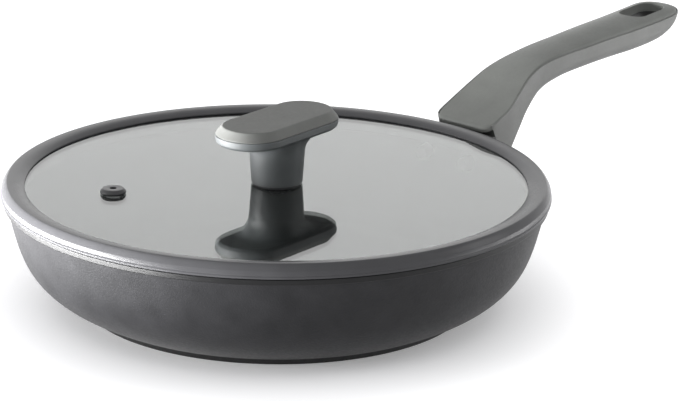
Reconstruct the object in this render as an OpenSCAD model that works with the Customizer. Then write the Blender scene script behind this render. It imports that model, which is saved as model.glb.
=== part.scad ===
// Frying pan with a flat glass lid. The origin is the centre of the foot on the hob, +Z is up and
// the handle points along +X. All sizes are in millimetres and all angles in degrees.

/* [Pan body] */
// Outside radius of the wall where it meets the rim band
wall_top_r = 142; // [130:0.5:155]
// Height of the pan from the hob to the flat top of its rim
pan_h = 59; // [54:0.5:70]
// Radius of the foot that stands on the hob
foot_r = 102.8; // [95:0.1:110]
// Height of the undercut edge above the hob
foot_h = 4; // [2:0.5:6]
// How far the undercut edge stands out past the foot
foot_flare = 3.7; // [2:0.1:6]
// Thickness of the base
base_t = 6.5; // [4:0.1:9]
// How far the inside corner lies within the undercut edge
inner_step = 2.5; // [1:0.1:6]
// Thickness of the wall at the rim
wall_t = 4; // [3:0.1:5]
// Height of the band round the rim
band_h = 3.5; // [2:0.1:6]
// How far the rim band stands proud of the wall
band_proud = 1.8; // [1:0.1:2.5]
// Depth of the straight land inside the rim, where the lid's skirt sits
land_h = 9; // [8:0.5:14]
// Chamfer on the rim's two top edges
rim_edge = 0.6; // [0.2:0.1:1]

/* [Induction plate] */
// Distance of the pressed-in steel plate's edge inside the foot's edge
plate_margin = 10.8; // [8:0.1:30]
// Thickness of the steel plate
plate_t = 0.6; // [0.4:0.1:1.5]
// Radius of each hole in the plate, filled by the base's aluminium
plate_hole_r = 2.6; // [1.5:0.1:4]
// Radius of the innermost ring of holes
plate_ring_r = 22; // [15:1:30]
// Distance from one ring of holes to the next
plate_ring_pitch = 20; // [14:1:22]

/* [Handle bracket] */
// Width of the flange that lies on the wall
flange_w = 48; // [44:1:60]
// How far the flange's outside lies past the lid's edge
flange_reach = 9; // [7:0.5:12]
// Depth of the flange below the rim
flange_drop = 19; // [14:1:30]
// Height of the flange's upright lip above the rim
flange_lip = 4.8; // [3:0.1:5]
// How far the lip's outside slopes in towards its top
lip_slope = 4; // [2:0.1:5]
// Gap between the upright lip and the lid
lip_gap = 0.7; // [0.5:0.1:2]
// Length of the tang inside the handle
tang_len = 36; // [28:1:40]
// Width of the tang
tang_w = 24; // [16:1:28]
// Height of the tang
tang_h = 9; // [7:0.5:10]
// Angle at which the tang climbs
tang_tilt = 30; // [24:1:34]
// Height of the tang's root below the rim, at its middle
tang_drop = 4.8; // [3:0.1:6]
// Play between the tang and its socket
socket_gap = 0.15; // [0.05:0.05:0.5]

/* [Rivets] */
// Shank radius of each rivet
rivet_r = 2.5; // [2:0.1:3.5]
// Head radius inside the pan
rivet_head_r = 4.6; // [4:0.1:5]
// Height of the rivet's head
rivet_head_h = 2.2; // [1.5:0.1:3]
// Distance of each rivet from the handle's middle plane, at the wall's outside
rivet_side = 16.2; // [12:0.1:17.5]
// Distance of the rivets below the rim
rivet_drop = 12.5; // [11:0.5:13]
// Thickness of the flat tail outside the flange
tail_h = 1.6; // [1:0.1:2.5]
// Depth of the tail below the flange's face
tail_sink = 1; // [0.8:0.1:2]

/* [Handle] */
// Gap between the lid's edge and the handle's nose
nose_gap = 2.5; // [1.5:0.1:5]
// Length of the handle from its nose to its tip
handle_len = 186; // [160:0.5:220]
// Height of the nose's top above the rim
nose_rise = 8.6; // [8:0.1:14]
// Height of the tip's top above the nose's top
handle_rise = 37.2; // [28:0.1:48]
// Width of the handle at its root
root_w = 42.2; // [38:0.2:46]
// Width of the handle at its waist
waist_w = 28.6; // [25:0.2:34]
// Width of the handle at the palm and tip
palm_w = 31.8; // [28:0.2:38]
// Depth of the handle at its root
root_depth = 34.5; // [30:0.5:42]
// Depth of the handle at its waist
waist_depth = 13.7; // [12:0.1:20]
// Radius along the handle's lower edges
belly_r = 5.5; // [2:0.5:6]
// Gap between the bracket's flange and the handle's body
body_gap = 1.2; // [0.5:0.1:3]
// How far the front edges of the handle's cheeks lean forward at the top
cheek_lean = 4.2; // [2:0.1:4.5]
// Height of the leaning part of the cheeks above the rim
cheek_h = 11; // [9:0.5:14]
// Radius of the nose's two corners
nose_corner_r = 6; // [2:0.5:10]
// Thickness of the cover let into the top
cover_t = 3.2; // [2:0.1:3.5]
// How high the cover is crowned at the palm
cover_crown = 3.2; // [0.5:0.1:4]
// Width of the body's edge left round the cover
cover_margin = 0.8; // [0.6:0.1:2]
// Gap round the cover
cover_gap = 0.15; // [0.05:0.05:0.4]
// Length of the hanging slot
slot_len = 31.2; // [20:0.2:36]
// Width of the hanging slot
slot_w = 17.6; // [12:0.2:19]
// Distance from the hanging slot's middle to the handle's tip
slot_inset = 25.4; // [21:0.1:32]

/* [Handle screw] */
// Distance of the screw from the tang's root, along the tang
screw_along = 22; // [18:0.5:24]
// Shank radius of the handle screw
screw_r = 2.5; // [2:0.1:3]
// Head radius of the handle screw
screw_head_r = 4.6; // [4:0.1:5]
// Head height of the handle screw
screw_head_h = 3; // [2:0.1:4]
// Thickness of handle that the screw clamps
screw_grip = 3.5; // [2.5:0.1:5]
// Outside radius of the washer under the head
washer_r = 5.6; // [5.2:0.1:6.5]
// Thickness of that washer
washer_t = 1; // [0.6:0.1:1.6]

/* [Lid ring] */
// Gap between the rim's flat top and the ring
lid_gap = 0.1; // [0.05:0.05:0.5]
// How far the silicone ring reaches out past the rim's band
ring_overhang = 1.2; // [0.7:0.1:3]
// Width of the ring from its outside to its lip on the glass
ring_w = 12.5; // [10:0.5:17]
// Distance of the ring's crown inside its outer edge
crown_inset = 3.5; // [3:0.1:6]
// Height of the ring's crown above its underside
crown_h = 7.65; // [6.5:0.05:10]
// Height of the ring's upright outer side
ring_side_h = 4.1; // [3:0.1:5]
// How far the ring's side leans in towards its top
ring_lean = 0.5; // [0.2:0.1:1]
// Thickness of the ring's lip on top of the glass
lip_t = 0.6; // [0.4:0.1:1.2]
// Thickness of silicone between the rim and the glass
bed_t = 0.75; // [0.5:0.05:1.5]
// Depth of the skirt that centres the lid in the pan
skirt_h = 6.5; // [4:0.5:8]
// Gap between the skirt and the land inside the rim
skirt_gap = 0.5; // [0.3:0.1:1]
// Thickness of the skirt
skirt_t = 4; // [2.5:0.1:4.3]

/* [Glass] */
// Distance of the glass's edge inside the ring's outer edge
glass_inset = 6; // [4.5:0.1:8]
// Thickness of the glass
glass_t = 3.9; // [3:0.1:5]
// Gap round the glass inside the ring's groove
glass_gap = 0.05; // [0.02:0.01:0.2]
// Radius of the hole for the knob's screw
glass_hole_r = 4; // [3.2:0.1:5]

/* [Vent] */
// Distance of the steam vent from the lid's axis
vent_out = 87.8; // [60:0.2:110]
// Angle of the steam vent, seen from above
vent_angle = 148.8; // [90:0.2:200]
// Radius of the grommet's top flange
vent_r = 7; // [6:0.1:10]
// Height of the grommet above the glass
vent_h = 2.9; // [2:0.1:4]
// Radius of the grommet's neck
vent_neck_r = 4.4; // [3.5:0.1:5]
// Gap between the neck and the hole in the glass
vent_gap = 0.1; // [0.05:0.05:0.3]
// Radius of the steam hole
vent_bore_r = 1.7; // [1:0.1:2.5]
// Radius of the grommet's flange under the glass
vent_under_r = 6; // [5.5:0.1:8]
// Thickness of the grommet's flange under the glass
vent_under_t = 1.8; // [1:0.1:3]

/* [Knob] */
// Angle between the knob's long axis and the handle
knob_turn = 5.8; // [-90:0.1:90]
// Half the distance between the centres of the knob's round ends
knob_half = 20.8; // [15:0.1:26]
// Radius of the knob's ends at the parting line
knob_r = 19.5; // [18:0.1:24]
// Radius of the knob's ends at the flat top
knob_top_r = 15.7; // [12:0.1:17.5]
// How far the band draws in from the parting line to its lower edge
knob_draft = 0.4; // [0.2:0.1:1]
// Height of the knob's cap above the parting line
cap_h = 4.7; // [3:0.1:8]
// Height of the band below the parting line
knob_band_h = 5; // [3:0.1:8]
// Size of the chamfer under the band
knob_under = 1.5; // [0.5:0.1:2.5]
// Radius of the stem at its foot
stem_r = 13.6; // [12:0.1:15]
// Radius of the stem where it meets the flare
stem_top_r = 14.7; // [13:0.1:16]
// Height of the stem from its foot to the band
stem_h = 25.5; // [22:0.1:36]
// Height of the flare between the stem and the band
flare_h = 9; // [3:0.1:12]
// How far the flare reaches out along the knob
flare_reach = 8; // [2:0.1:12]
// Radius of the black gasket under the stem
gasket_r = 12.9; // [10:0.1:13.5]
// Thickness of that gasket
gasket_t = 0.8; // [0.5:0.1:1.5]
// Depth of the socket that holds the cap
cap_socket = 2; // [1:0.1:3]
// Wall between the cap's socket and the band's outside
cap_wall = 7; // [5:0.1:9]

/* [Knob fixing] */
// Outside radius of the threaded insert in the stem
insert_r = 5; // [4:0.1:6]
// Length of the threaded insert
insert_len = 16; // [12:0.5:18]
// Distance of the insert above the stem's foot
insert_up = 0.6; // [0.2:0.1:2]
// Shank radius of the knob screw
knob_screw_r = 2.5; // [2:0.1:3]
// Head radius of the knob screw
knob_head_r = 4.7; // [4:0.1:6]
// Head height of the knob screw
knob_head_h = 2.8; // [2:0.1:4]
// Radius of the soft gasket under the glass
under_r = 10.5; // [8:0.1:12]
// Thickness of the soft gasket under the glass
under_t = 0.8; // [0.5:0.1:1.5]
// Radius of the steel washer below that gasket
cup_r = 9; // [6:0.1:10.5]
// Thickness of the steel washer
cup_t = 1; // [0.6:0.1:1.6]
// Length of screw inside the insert
thread_in = 11; // [8:0.5:12]

/* [Fits] */
// Radial play of a screw in its thread and of an insert in its hole
fit = 0.05; // [0.02:0.01:0.1]
// Radial play of a screw in a plain hole
loose = 0.3; // [0.2:0.05:0.6]
// Overrun of every cut
cut = 1; // [0.5:0.1:2]

/* [Hidden] */

quarter_turn = 90;

// Facets of large rounds, small rounds and thin pins
big_round = 240;
small_round = 72;
pin_round = 48;

// Wall outline: straight part of its climb, and how sharply the curve turns at the foot
wall_straight_share = 0.35;
wall_power = 4.5;
wall_steps = 18;
wall_step_power = 1.7;

edge_r = foot_r + foot_flare;
band_z = pan_h - band_h;
band_r = wall_top_r + band_proud;
land_r = wall_top_r - wall_t;
land_z = pan_h - land_h;
inner_r = edge_r - inner_step;

plate_r = foot_r - plate_margin;
plate_rings = 1 + floor((plate_r - plate_ring_r - 2 * plate_hole_r) / plate_ring_pitch);
plate_ring_holes = 8;

// The lid's ring follows the rim's band, and its glass follows the ring
ring_r = band_r + ring_overhang;
ring_in_r = ring_r - ring_w;
crown_r = ring_r - crown_inset;
glass_r = ring_r - glass_inset;

// Lid heights, from the rim up
lid_z = pan_h + lid_gap;
bed_z = lid_z + bed_t;
glass_z = bed_z + glass_gap;
glass_top = glass_z + glass_t;
ring_lip_z = glass_top + glass_gap;
crown_z = lid_z + crown_h;
skirt_r = land_r - skirt_gap;
ring_steps = 12;
crown_in_power = 1.4;
crown_out_power = 1.8;

// Handle outline along its length: share of the length, of the rise, of the widening towards the
// root, of the widening towards the palm, of the deepening towards the root, and of the crown
handle_shares = [
    [0.000, 0.000, 0.95, 0.00, 1.00, 0.00],
    [0.045, 0.105, 1.00, 0.00, 0.92, 0.01],
    [0.098, 0.234, 0.95, 0.00, 0.73, 0.03],
    [0.150, 0.398, 0.66, 0.00, 0.55, 0.07],
    [0.208, 0.573, 0.31, 0.00, 0.34, 0.13],
    [0.283, 0.704, 0.03, 0.00, 0.12, 0.25],
    [0.382, 0.780, 0.00, 0.00, 0.02, 0.45],
    [0.498, 0.825, 0.00, 0.12, 0.00, 0.65],
    [0.619, 0.868, 0.00, 0.44, 0.01, 0.80],
    [0.743, 0.900, 0.00, 0.81, 0.02, 0.95],
    [0.858, 0.944, 0.00, 1.00, -0.01, 1.00],
    [0.906, 0.970, 0.00, 1.00, -0.10, 0.90],
    [0.936, 0.984, 0.00, 1.00, -0.22, 0.70],
    [0.968, 0.994, 0.00, 1.00, -0.35, 0.36],
    [1.000, 1.000, 0.00, 1.00, -0.47, 0.00]];
handle_steps = 40;
belly_steps = 4;
belly_share = 0.75;
crown_steps = 10;
nose_x = ring_r + nose_gap;
tip_x = nose_x + handle_len;
nose_z = pan_h + nose_rise;
slot_x = tip_x - slot_inset;
tip_centre_x = tip_x - palm_w / 2;
flange_r = ring_r + flange_reach;
body_r = flange_r + body_gap;
tall = 2 * (nose_z + handle_rise);

tang_x = ring_r + lip_gap;
tang_z = pan_h - tang_drop;
seat_z = -(tang_h / 2 + socket_gap + screw_grip);
rivet_angle = asin(rivet_side / wall_top_r);
rivet_z = pan_h - rivet_drop;
rivet_in = rivet_head_h + wall_t;
tail_x = flange_r - tail_sink - tail_h;

knob_z = glass_top + glass_gap + gasket_t;
knob_under_z = knob_z + stem_h;
part_z = knob_under_z + knob_band_h;
knob_under_r = knob_r - knob_draft - knob_under;
flare_steps = 8;
flare_arc_steps = 18;
under_z = glass_z - glass_gap - under_t;
cup_z = under_z - cup_t;

// Share of the wall's climb outwards that is done at height share t
function wall_climb(t) = wall_straight_share * t
    + (1 - wall_straight_share) * (1 - pow(1 - t, wall_power));

// Points of a wall line from its low corner to its high corner
function wall_line(low, high) = [for (i = [0 : wall_steps])
    let (t = pow(i / wall_steps, wall_step_power))
    [low.x + (high.x - low.x) * wall_climb(t), low.y + (high.y - low.y) * t]];

function backwards(points) = [for (i = [len(points) - 1 : -1 : 0]) points[i]];

outer_line = concat([[0, 0], [foot_r, 0]], wall_line([edge_r, foot_h], [wall_top_r, band_z]),
    [[band_r, band_z + rim_edge], [band_r, pan_h - rim_edge], [band_r - rim_edge, pan_h]]);
inner_line = concat([[land_r + rim_edge, pan_h], [land_r, pan_h - rim_edge]],
    backwards(wall_line([inner_r, base_t], [land_r, land_z])), [[0, base_t]]);

// Smooth curve through a column of the handle's shares
function column(j) = [for (row = handle_shares) [row[0], row[j]]];
function steep(p, i) = let (a = max(i - 1, 0), b = min(i + 1, len(p) - 1))
    (p[b].y - p[a].y) / (p[b].x - p[a].x);
function span_of(p, x, i = 0) = i >= len(p) - 2 || x <= p[i + 1].x ? i : span_of(p, x, i + 1);
function curve(p, x) = let (i = span_of(p, x), h = p[i + 1].x - p[i].x, t = (x - p[i].x) / h)
    (2 * pow(t, 3) - 3 * pow(t, 2) + 1) * p[i].y
    + (pow(t, 3) - 2 * pow(t, 2) + t) * h * steep(p, i)
    + (3 * pow(t, 2) - 2 * pow(t, 3)) * p[i + 1].y
    + (pow(t, 3) - pow(t, 2)) * h * steep(p, i + 1);

function along(t) = nose_x + handle_len * t;
function top_z(t) = nose_z + handle_rise * curve(column(1), t);
function half_w(t) = (waist_w + (root_w - waist_w) * curve(column(2), t)
    + (palm_w - waist_w) * curve(column(3), t)) / 2;
function depth(t) = waist_depth + (root_depth - waist_depth) * curve(column(4), t);
function crown(t) = cover_crown * curve(column(5), t);
stations = [for (i = [0 : handle_steps]) i / handle_steps];

// One section across the body at share t, from one top edge round the belly to the other
function belly(t, side) = [for (k = [0 : belly_steps])
    let (a = quarter_turn * (side > 0 ? k : belly_steps - k) / belly_steps,
        r = min(belly_r, belly_share * depth(t)))
    [along(t), side * (half_w(t) - r * (1 - cos(a))), top_z(t) - depth(t) + r * (1 - sin(a))]];
function section(t) = concat([[along(t), half_w(t), top_z(t)]], belly(t, 1), belly(t, -1),
    [[along(t), -half_w(t), top_z(t)]]);

// One section across the cover at share t, with its flat underside and its crown raised by above
function cover_section(t, below, above) = let (w = half_w(t)) concat(
    [[along(t), w, top_z(t) - below], [along(t), -w, top_z(t) - below]],
    [for (k = [0 : crown_steps]) let (u = 2 * k / crown_steps - 1)
        [along(t), u * w, top_z(t) + above + crown(t) * (1 - u * u)]]);

// Solid between sections with the same number of points
module loft(sections) {
    n = len(sections[0]);
    m = len(sections);
    points = [for (s = sections) each s];
    sides = [for (i = [0 : m - 2], k = [0 : n - 1]) let (a = i * n + k, b = i * n + (k + 1) % n)
        each [[a, b, b + n], [a, b + n, a + n]]];
    low_cap = [for (k = [1 : n - 2]) [0, k + 1, k]];
    high_cap = [for (k = [1 : n - 2]) [(m - 1) * n, (m - 1) * n + k, (m - 1) * n + k + 1]];
    polyhedron(points = points, faces = concat(sides, low_cap, high_cap));
}

// Solid of revolution about the pan's axis
module lathe(outline) {
    rotate_extrude($fn = big_round) polygon(outline);
}

module washer_ring(outer, inner, h) {
    difference() {
        cylinder(h = h, r = outer, $fn = small_round);
        translate([0, 0, -cut]) cylinder(h = h + 2 * cut, r = inner, $fn = small_round);
    }
}

// Slab with round ends whose ends taper from r1 to r2
module oval(half, r1, r2, h) {
    for (side = [-1, 1])
        translate([side * half, 0, 0]) cylinder(h = h, r1 = r1, r2 = r2, $fn = small_round);
    translate([-half, 0, 0]) rotate([90, 0, 90]) linear_extrude(2 * half)
        polygon([[-r1, 0], [r1, 0], [r2, h], [-r2, h]]);
}

// Place along the tang: its own x runs up the tang, and its z is square to it
module on_tang() {
    translate([tang_x, 0, tang_z]) rotate([0, -tang_tilt, 0]) children();
}

module at_rivets() {
    for (side = [-1, 1])
        rotate([0, 0, side * rivet_angle]) translate([0, 0, rivet_z]) rotate([0, 90, 0]) children();
}

module hang_slot() {
    reach = (slot_len - slot_w) / 2;
    translate([slot_x, 0, 0]) {
        for (side = [-1, 1])
            translate([side * reach, 0, 0]) cylinder(h = tall, r = slot_w / 2, $fn = small_round);
        translate([-reach, -slot_w / 2, 0]) cube([2 * reach, slot_w, tall]);
    }
}

// Outline of the handle from above, drawn in by a margin, with its round tip
module plan(margin) {
    difference() {
        polygon(concat([for (t = stations) [along(t), half_w(t) - margin]],
            backwards([for (t = stations) [along(t), margin - half_w(t)]])));
        translate([tip_centre_x, -palm_w]) difference() {
            square([palm_w, 2 * palm_w]);
            translate([0, palm_w]) circle(r = palm_w / 2 - margin, $fn = small_round);
        }
    }
}

// Round corners of the nose, from above
module nose_plan(margin) {
    half = root_w / 2 - margin;
    translate([nose_x, nose_corner_r - half]) square([tip_x, 2 * (half - nose_corner_r)]);
    translate([nose_x + nose_corner_r, -half]) square([tip_x, 2 * half]);
    for (side = [-1, 1])
        translate([nose_x + nose_corner_r, side * (half - nose_corner_r)])
            circle(r = nose_corner_r, $fn = small_round);
}

// Outline of the cover from above, drawn in from the handle's outline by a margin
module cover_plan(margin) {
    linear_extrude(tall) intersection() {
        plan(margin);
        nose_plan(margin);
    }
}

// Plate with its rings of holes, from a little below the foot's face up to its own top
module plate(below) {
    translate([0, 0, -below]) difference() {
        cylinder(h = plate_t + below, r = plate_r, $fn = big_round);
        for (ring = [0 : plate_rings - 1], k = [1 : plate_ring_holes * (ring + 1)])
            rotate([0, 0, 360 * k / (plate_ring_holes * (ring + 1))])
                translate([plate_ring_r + ring * plate_ring_pitch, 0, -cut])
                    cylinder(h = plate_t + below + 2 * cut, r = plate_hole_r, $fn = pin_round);
    }
}

module pan_body() {
    color("#3c3c3e") difference() {
        lathe(concat(outer_line, inner_line));
        plate(cut);
        at_rivets() cylinder(h = band_r, r = rivet_r + fit, $fn = pin_round);
    }
}

module induction_plate() {
    color("#b9bab8") plate(0);
}

module handle_bracket() {
    lip_z = pan_h + flange_lip;
    color("#2b2b2d") difference() {
        union() {
            intersection() {
                lathe([[0, pan_h - flange_drop], [flange_r, pan_h - flange_drop], [flange_r, pan_h],
                    [flange_r - lip_slope, lip_z], [0, lip_z]]);
                translate([0, -flange_w / 2, 0]) cube([flange_r, flange_w, tall]);
            }
            on_tang() translate([0, -tang_w / 2, -tang_h / 2]) cube([tang_len, tang_w, tang_h]);
        }
        lathe(concat(outer_line, [[0, pan_h]]));
        translate([0, 0, pan_h - rim_edge])
            cylinder(h = tall, r = ring_r + lip_gap, $fn = big_round);
        on_tang() translate([screw_along, 0, -tang_h])
            cylinder(h = 2 * tang_h, r = screw_r + fit, $fn = pin_round);
        at_rivets() {
            cylinder(h = flange_r, r = rivet_r + fit, $fn = pin_round);
            translate([0, 0, tail_x])
                cylinder(h = tail_h + tail_sink + cut, r = rivet_head_r + fit, $fn = pin_round);
        }
    }
}

// Each rivet has a low head inside the pan, and a flat tail sunk into the flange
module bracket_rivets() {
    head_x = land_r - rivet_in;
    color("#c4c5c3") at_rivets() translate([0, 0, head_x])
        cylinder(h = tail_x + tail_h - head_x, r = rivet_r, $fn = pin_round);
    color("#c4c5c3") at_rivets() translate([0, 0, tail_x])
        cylinder(h = tail_h, r = rivet_head_r, $fn = pin_round);
    color("#c4c5c3") difference() {
        at_rivets() translate([0, 0, head_x])
            cylinder(h = rivet_in, r1 = rivet_head_r - rivet_head_h / 2, r2 = rivet_head_r,
                $fn = pin_round);
        difference() {
            cylinder(h = tall, r = tall, $fn = big_round);
            lathe(concat([[0, pan_h]], inner_line));
        }
    }
}

module handle_body() {
    slot_h = tang_h + 2 * socket_gap;
    color("#7e807c") difference() {
        intersection() {
            loft([for (t = stations) section(t)]);
            linear_extrude(tall) plan(0);
        }
        lathe([[0, 0], [body_r, 0], [body_r, pan_h], [body_r - cheek_lean, pan_h + cheek_h],
            [body_r - cheek_lean, tall], [0, tall]]);
        intersection() {
            loft([for (t = stations) cover_section(t, cover_t + cover_gap, cut)]);
            cover_plan(cover_margin - cover_gap);
        }
        on_tang() {
            translate([0, -tang_w / 2 - socket_gap, -slot_h / 2])
                cube([tang_len + cut, tang_w + 2 * socket_gap, slot_h]);
            translate([screw_along, 0, -root_depth]) {
                cylinder(h = root_depth, r = screw_r + loose, $fn = pin_round);
                cylinder(h = root_depth + seat_z, r = washer_r + loose, $fn = pin_round);
            }
        }
        hang_slot();
    }
}

module handle_cover() {
    color("#777975") difference() {
        intersection() {
            loft([for (t = stations) cover_section(t, cover_t, 0)]);
            cover_plan(cover_margin);
        }
        hang_slot();
    }
}

module handle_screw() {
    shank = seat_z - washer_t;
    color("#b4b5b3") on_tang() translate([screw_along, 0, shank]) difference() {
        union() {
            cylinder(h = tang_h / 2 - shank, r = screw_r, $fn = pin_round);
            translate([0, 0, -screw_head_h])
                cylinder(h = screw_head_h, r = screw_head_r, $fn = pin_round);
        }
        translate([0, 0, -screw_head_h - cut])
            cylinder(h = cut + screw_head_h / 2, r = screw_head_r / 2, $fn = 6);
    }
}

module handle_washer() {
    color("#b4b5b3") on_tang() translate([screw_along, 0, seat_z - washer_t])
        washer_ring(washer_r, screw_r + loose, washer_t);
}

// The ring's section: a lip on the glass, a low crown, an upright side, the bed on the rim, and
// a skirt that drops into the pan
module lid_ring() {
    side_r = ring_r - ring_lean;
    side_z = lid_z + ring_side_h;
    lip_top = ring_lip_z + lip_t;
    crown_in = [for (i = [0 : ring_steps]) let (u = i / ring_steps)
        [ring_in_r + (crown_r - ring_in_r) * u,
            lip_top + (crown_z - lip_top) * (1 - pow(1 - u, crown_in_power))]];
    crown_out = [for (i = [1 : ring_steps]) let (u = i / ring_steps)
        [crown_r + (side_r - crown_r) * u,
            crown_z - (crown_z - side_z) * pow(u, crown_out_power)]];
    foot = [[ring_r, lid_z + lip_t / 2], [ring_r - lip_t / 2, lid_z]];
    skirt = [[skirt_r, lid_z], [skirt_r, lid_z - skirt_h + lip_t], [skirt_r - lip_t, lid_z - skirt_h],
        [skirt_r - skirt_t, lid_z - skirt_h], [skirt_r - skirt_t, bed_z]];
    groove = [[glass_r + glass_gap, bed_z], [glass_r + glass_gap, ring_lip_z],
        [ring_in_r, ring_lip_z]];
    color("#6d6d6f") lathe(concat(crown_in, crown_out, foot, skirt, groove));
}

module glass_disc() {
    color("#c8cccb", 0.4) translate([0, 0, glass_z]) difference() {
        cylinder(h = glass_t, r = glass_r, $fn = big_round);
        translate([0, 0, -cut]) {
            cylinder(h = glass_t + 2 * cut, r = glass_hole_r, $fn = pin_round);
            rotate([0, 0, vent_angle]) translate([vent_out, 0, 0])
                cylinder(h = glass_t + 2 * cut, r = vent_neck_r + vent_gap, $fn = pin_round);
        }
    }
}

module vent_grommet() {
    top_z = glass_top + glass_gap + vent_h;
    round_h = vent_h / 2;
    low_z = glass_z - glass_gap - vent_under_t;
    color("#4f4f51") rotate([0, 0, vent_angle]) translate([vent_out, 0, 0])
        rotate_extrude($fn = small_round) polygon([
            [vent_bore_r, low_z],
            [vent_under_r, low_z],
            [vent_under_r, low_z + vent_under_t],
            [vent_neck_r, low_z + vent_under_t],
            [vent_neck_r, glass_top + glass_gap],
            [vent_r - round_h / 2, glass_top + glass_gap],
            [vent_r, top_z - round_h],
            [vent_r - round_h / 2, top_z - round_h / 3],
            [vent_r - round_h, top_z],
            [vent_bore_r, top_z]]);
}

// One level of the knob's flare: a round grown by r and stretched by half along the knob
function flare_level(a) = let (half = flare_reach * (1 - cos(a)),
        r = stem_top_r + (knob_under_r - stem_top_r) * (1 - cos(a)))
    [for (k = [0 : 2 * flare_arc_steps + 1])
        let (end = k > flare_arc_steps ? -1 : 1,
            b = quarter_turn * (1 - 2 * (end > 0 ? k : k - 1) / flare_arc_steps))
        [end * half + r * cos(b), r * sin(b), knob_under_z - flare_h * (1 - sin(a))]];

module knob_body() {
    socket_r = knob_r - cap_wall;
    color("#6f7170") rotate([0, 0, knob_turn]) difference() {
        union() {
            translate([0, 0, knob_z])
                cylinder(h = stem_h - flare_h, r1 = stem_r, r2 = stem_top_r, $fn = small_round);
            loft([for (i = [0 : flare_steps]) flare_level(quarter_turn * i / flare_steps)]);
            translate([0, 0, knob_under_z])
                oval(knob_half, knob_under_r, knob_r - knob_draft, knob_under);
            translate([0, 0, knob_under_z + knob_under])
                oval(knob_half, knob_r - knob_draft, knob_r, knob_band_h - knob_under);
        }
        translate([0, 0, part_z - cap_socket])
            oval(knob_half, socket_r, socket_r, cap_socket + cut);
        translate([0, 0, knob_z - cut])
            cylinder(h = cut + insert_up + insert_len, r = insert_r + fit, $fn = pin_round);
    }
}

module knob_cap() {
    plug_r = knob_r - cap_wall - fit;
    plug_h = cap_socket - fit;
    color("#8a8b87") rotate([0, 0, knob_turn]) {
        translate([0, 0, part_z]) oval(knob_half, knob_r, knob_top_r, cap_h);
        translate([0, 0, part_z - plug_h]) oval(knob_half, plug_r, plug_r, plug_h + cap_h / 2);
    }
}

module knob_gasket() {
    color("#161617") translate([0, 0, knob_z - gasket_t])
        washer_ring(gasket_r, knob_screw_r + loose, gasket_t);
}

module knob_insert() {
    color("#b9974f") translate([0, 0, knob_z + insert_up])
        washer_ring(insert_r, knob_screw_r + fit, insert_len);
}

module under_gasket() {
    color("#5a5a5c") translate([0, 0, under_z])
        washer_ring(under_r, knob_screw_r + loose, under_t);
}

module knob_washer() {
    color("#c4c5c3") translate([0, 0, cup_z]) washer_ring(cup_r, knob_screw_r + loose, cup_t);
}

module knob_screw() {
    top = knob_z + insert_up + thread_in;
    color("#c4c5c3") translate([0, 0, cup_z]) difference() {
        union() {
            cylinder(h = top - cup_z, r = knob_screw_r, $fn = pin_round);
            translate([0, 0, -knob_head_h])
                cylinder(h = knob_head_h, r1 = knob_head_r - knob_head_h / 3, r2 = knob_head_r,
                    $fn = pin_round);
        }
        for (turn = [0, 90])
            rotate([0, 0, turn]) translate([-knob_head_r / 2, -knob_screw_r / 4, -knob_head_h - cut])
                cube([knob_head_r, knob_screw_r / 2, cut + knob_head_h / 2]);
    }
}

pan_body();
induction_plate();
handle_bracket();
bracket_rivets();
handle_body();
handle_cover();
handle_screw();
handle_washer();
lid_ring();
glass_disc();
vent_grommet();
knob_body();
knob_cap();
knob_gasket();
knob_insert();
under_gasket();
knob_washer();
knob_screw();
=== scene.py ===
"""Looks of a frying pan with a glass lid, built around its CAD frame. Sizes are in millimetres."""

import math

import bmesh
import bpy
from mathutils import Matrix, Vector


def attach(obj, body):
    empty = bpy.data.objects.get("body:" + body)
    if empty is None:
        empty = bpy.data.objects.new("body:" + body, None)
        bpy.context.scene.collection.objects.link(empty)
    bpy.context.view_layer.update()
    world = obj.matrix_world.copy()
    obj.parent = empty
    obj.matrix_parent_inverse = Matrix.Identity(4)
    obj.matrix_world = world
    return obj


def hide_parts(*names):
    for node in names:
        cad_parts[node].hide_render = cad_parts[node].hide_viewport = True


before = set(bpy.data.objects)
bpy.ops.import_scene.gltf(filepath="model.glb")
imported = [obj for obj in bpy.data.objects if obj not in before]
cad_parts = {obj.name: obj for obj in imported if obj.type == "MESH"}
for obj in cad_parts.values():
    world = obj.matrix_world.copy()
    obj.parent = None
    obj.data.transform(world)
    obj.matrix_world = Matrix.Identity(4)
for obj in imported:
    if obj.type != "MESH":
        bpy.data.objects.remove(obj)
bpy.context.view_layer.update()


# PAN BODY
# The pan is one aluminium casting, turned at its foot and rim. A dark grey coat with ceramic grit
# is baked on outside and keeps a sandy satin surface. The inside has a black non-stick coat.
MM = 0.001
FULL_TURN = 2 * math.pi
ROUND_SIDES = 256
SHARP_ANGLE = 35
MERGE = 0.002
PAN_H = 59
WALL_TOP_R = 142
FOOT_R = 102.8
FOOT_H = 4
FOOT_EDGE_R = 0.6
EDGE_R = FOOT_R + 3.7
UNDERCUT_R = 0.8
BASE_T = 6.5
BAND_R = WALL_TOP_R + 1.8
BAND_Z = PAN_H - 3.5
BAND_EDGE_R = 0.5
LAND_R = WALL_TOP_R - 4
LAND_Z = PAN_H - 9
INNER_R = EDGE_R - 2.5
RIM_EDGE_R = 0.55
FLOOR_CORNER_R = 14
PLATE_R = FOOT_R - 10.8
PLATE_T = 0.6
PLATE_SEAM_R = 0.15
PLATE_HOLE_R = 2.6
PLUG_SEAM_R = 0.12
PLUG_ROOT = 0.2
PLUG_SIDES = 24
# rings of holes as (radius, number of holes)
PLATE_RINGS = [(22 + 20 * ring, 8 * (ring + 1)) for ring in range(4)]
WALL_STEPS = 26
WALL_CROWDING = 1.7
WALL_STRAIGHT = 0.35
WALL_ROUNDNESS = 4.5


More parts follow.
